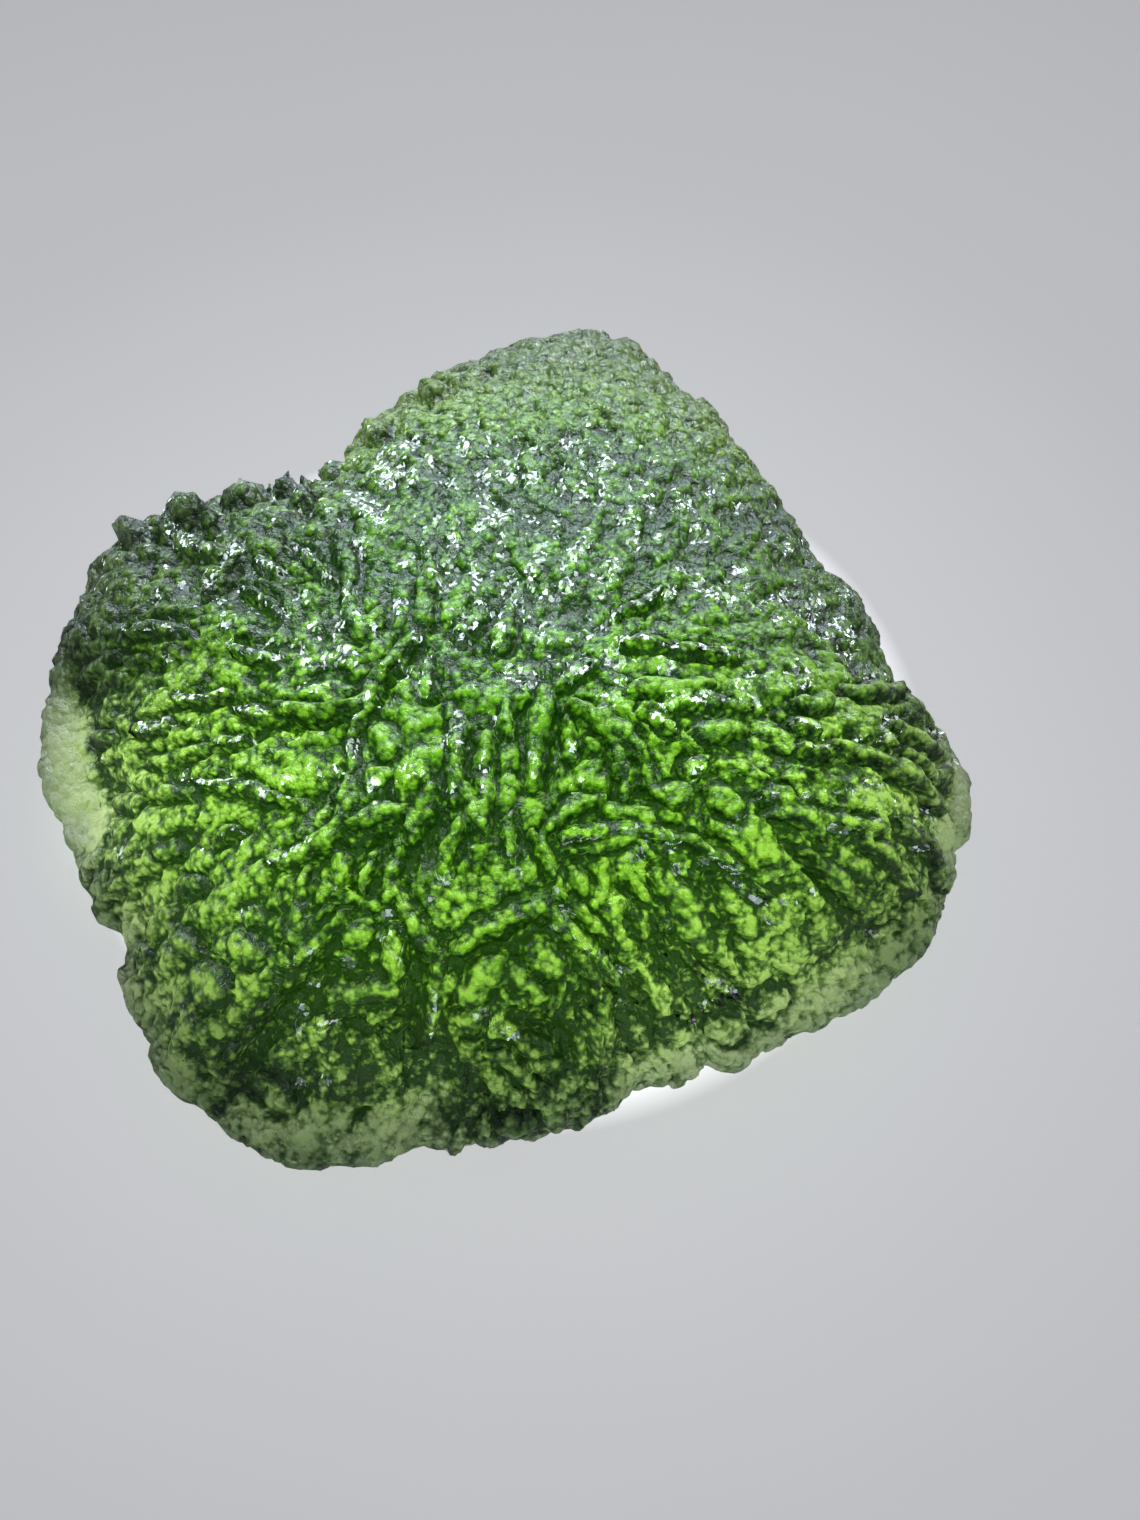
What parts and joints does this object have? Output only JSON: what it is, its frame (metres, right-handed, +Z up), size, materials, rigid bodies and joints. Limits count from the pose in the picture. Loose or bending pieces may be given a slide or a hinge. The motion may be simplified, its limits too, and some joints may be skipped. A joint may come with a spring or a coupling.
{
  "type": "moldavite",
  "caption": "Single piece of natural green glass: a domed, see-through pebble with a sculpted surface of radial lobes and grooves, resting on a small flat spot.",
  "frame": {"origin": "middle of the stone's bounding box, at the level of the flat spot that it rests on", "axes": "+Z up, away from the resting surface; +X to the stone's right as the picture shows it; +Y away from the viewer, towards the pointed far end"},
  "size_m": [0.033, 0.0354, 0.0109],
  "materials": {
    "moldavite_glass": "natural bottle-green glass, clear inside with a finely etched, glittering surface; pale where it is thin"
  },
  "bodies": {
    "root": {"moldavite": "moldavite_glass"}
  },
  "joints": []
}
